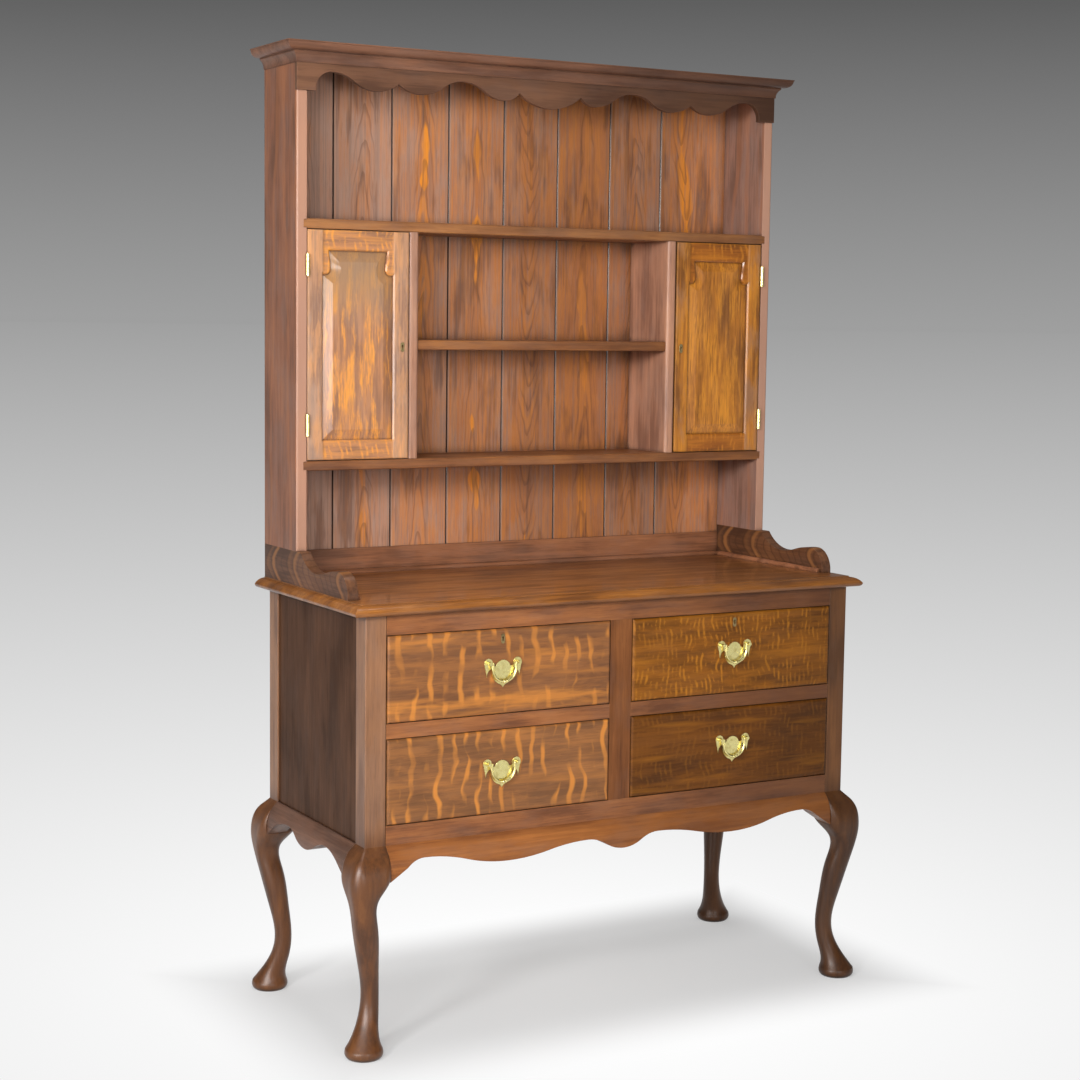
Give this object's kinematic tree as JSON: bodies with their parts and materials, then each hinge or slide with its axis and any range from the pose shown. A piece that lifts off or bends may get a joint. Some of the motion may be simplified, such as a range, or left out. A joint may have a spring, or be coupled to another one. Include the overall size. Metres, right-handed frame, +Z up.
{
  "type": "welsh dresser",
  "caption": "Oak dresser with an open plate rack, small panelled cupboards, drawers with brass drop handles, scroll-sawn aprons and cabriole legs on pad feet.",
  "frame": {"origin": "on the floor under the middle of the base", "axes": "+Z up, -Y out of the front where the drawers open, +X to the right seen from the front"},
  "size_m": [1.238, 0.567, 2],
  "materials": {
    "leg_oak": "satin wax",
    "side_oak": "satin wax",
    "inner_wood": "bare",
    "rail_oak": "satin wax",
    "muntin_oak": "satin wax",
    "apron_oak": "satin wax",
    "top_oak": "satin wax",
    "gallery_oak": "satin wax",
    "rack_side_oak": "satin wax",
    "shelf_oak": "satin wax",
    "divider_oak": "satin wax",
    "back_board_oak": "satin wax",
    "frieze_oak": "satin wax",
    "cornice_oak": "satin wax",
    "brass": "polished",
    "door_oak_left": "satin wax",
    "panel_oak_left": "satin wax",
    "door_oak_right": "satin wax",
    "panel_oak_right": "satin wax",
    "drawer_oak_upper_left": "satin wax",
    "drawer_box_wood": "bare",
    "drawer_oak_upper_right": "satin wax",
    "drawer_oak_lower_left": "satin wax",
    "drawer_oak_lower_right": "satin wax"
  },
  "bodies": {
    "carcase": {"leg_front_left": "leg_oak", "leg_front_right": "leg_oak", "leg_back_left": "leg_oak", "leg_back_right": "leg_oak", "side_panels": "side_oak", "base_back": "inner_wood", "drawer_runners": "inner_wood", "front_top_rail": "rail_oak", "drawer_rails": "rail_oak", "bottom_rail": "rail_oak", "centre_muntin": "muntin_oak", "front_apron": "apron_oak", "side_apron_left": "apron_oak", "side_apron_right": "apron_oak", "top_board": "top_oak", "gallery_side_left": "gallery_oak", "gallery_side_right": "gallery_oak", "gallery_back": "gallery_oak", "gallery_bead": "gallery_oak", "rack_side_left": "rack_side_oak", "rack_side_right": "rack_side_oak", "top_shelf": "shelf_oak", "middle_shelf": "shelf_oak", "lower_shelf": "shelf_oak", "dividers": "divider_oak", "back_boards": "back_board_oak", "frieze": "frieze_oak", "cornice": "cornice_oak", "rack_top": "cornice_oak", "hinge_fixed_leaves": "brass"},
    "door_left": {"door_left_frame": "door_oak_left", "door_left_panel": "panel_oak_left", "door_left_hinges": "brass", "door_left_lock": "brass"},
    "door_left_bolt": {"door_left_bolt": "brass"},
    "door_right": {"door_right_frame": "door_oak_right", "door_right_panel": "panel_oak_right", "door_right_hinges": "brass", "door_right_lock": "brass"},
    "door_right_bolt": {"door_right_bolt": "brass"},
    "drawer_upper_left": {"drawer_upper_left_front": "drawer_oak_upper_left", "drawer_upper_left_box": "drawer_box_wood", "drawer_upper_left_plate": "brass", "drawer_upper_left_lock": "brass"},
    "drawer_upper_left_bail": {"drawer_upper_left_bail": "brass"},
    "drawer_upper_left_bolt": {"drawer_upper_left_bolt": "brass"},
    "drawer_upper_right": {"drawer_upper_right_front": "drawer_oak_upper_right", "drawer_upper_right_box": "drawer_box_wood", "drawer_upper_right_plate": "brass", "drawer_upper_right_lock": "brass"},
    "drawer_upper_right_bail": {"drawer_upper_right_bail": "brass"},
    "drawer_upper_right_bolt": {"drawer_upper_right_bolt": "brass"},
    "drawer_lower_left": {"drawer_lower_left_front": "drawer_oak_lower_left", "drawer_lower_left_box": "drawer_box_wood", "drawer_lower_left_plate": "brass"},
    "drawer_lower_left_bail": {"drawer_lower_left_bail": "brass"},
    "drawer_lower_right": {"drawer_lower_right_front": "drawer_oak_lower_right", "drawer_lower_right_box": "drawer_box_wood", "drawer_lower_right_plate": "brass"},
    "drawer_lower_right_bail": {"drawer_lower_right_bail": "brass"}
  },
  "joints": [
    {"name": "door_left_hinge", "type": "hinge", "parent": "carcase", "child": "door_left", "pos_m": [-0.5632, 0.0787, 1.3925], "axis": [0, 0, -1], "range_deg": [0, 165]},
    {"name": "door_left_bolt_slide", "type": "slide", "parent": "door_left", "child": "door_left_bolt", "axis": [1, 0, 0], "range_m": [0, 0.007]},
    {"name": "door_right_hinge", "type": "hinge", "parent": "carcase", "child": "door_right", "pos_m": [0.5632, 0.0787, 1.3925], "axis": [0, 0, 1], "range_deg": [0, 165]},
    {"name": "door_right_bolt_slide", "type": "slide", "parent": "door_right", "child": "door_right_bolt", "axis": [-1, 0, 0], "range_m": [0, 0.007]},
    {"name": "drawer_upper_left_slide", "type": "slide", "parent": "carcase", "child": "drawer_upper_left", "axis": [0, -1, 0], "range_m": [0, 0.32]},
    {"name": "drawer_upper_left_bail_hinge", "type": "hinge", "parent": "drawer_upper_left", "child": "drawer_upper_left_bail", "pos_m": [-0.2805, -0.258, 0.7675], "axis": [-1, 0, 0], "range_deg": [0, 85]},
    {"name": "drawer_upper_left_bolt_slide", "type": "slide", "parent": "drawer_upper_left", "child": "drawer_upper_left_bolt", "axis": [0, 0, 1], "range_m": [0, 0.007]},
    {"name": "drawer_upper_right_slide", "type": "slide", "parent": "carcase", "child": "drawer_upper_right", "axis": [0, -1, 0], "range_m": [0, 0.32]},
    {"name": "drawer_upper_right_bail_hinge", "type": "hinge", "parent": "drawer_upper_right", "child": "drawer_upper_right_bail", "pos_m": [0.2805, -0.258, 0.7675], "axis": [-1, 0, 0], "range_deg": [0, 85]},
    {"name": "drawer_upper_right_bolt_slide", "type": "slide", "parent": "drawer_upper_right", "child": "drawer_upper_right_bolt", "axis": [0, 0, 1], "range_m": [0, 0.007]},
    {"name": "drawer_lower_left_slide", "type": "slide", "parent": "carcase", "child": "drawer_lower_left", "axis": [0, -1, 0], "range_m": [0, 0.32]},
    {"name": "drawer_lower_left_bail_hinge", "type": "hinge", "parent": "drawer_lower_left", "child": "drawer_lower_left_bail", "pos_m": [-0.2805, -0.258, 0.5635], "axis": [-1, 0, 0], "range_deg": [0, 85]},
    {"name": "drawer_lower_right_slide", "type": "slide", "parent": "carcase", "child": "drawer_lower_right", "axis": [0, -1, 0], "range_m": [0, 0.32]},
    {"name": "drawer_lower_right_bail_hinge", "type": "hinge", "parent": "drawer_lower_right", "child": "drawer_lower_right_bail", "pos_m": [0.2805, -0.258, 0.5635], "axis": [-1, 0, 0], "range_deg": [0, 85]}
  ]
}
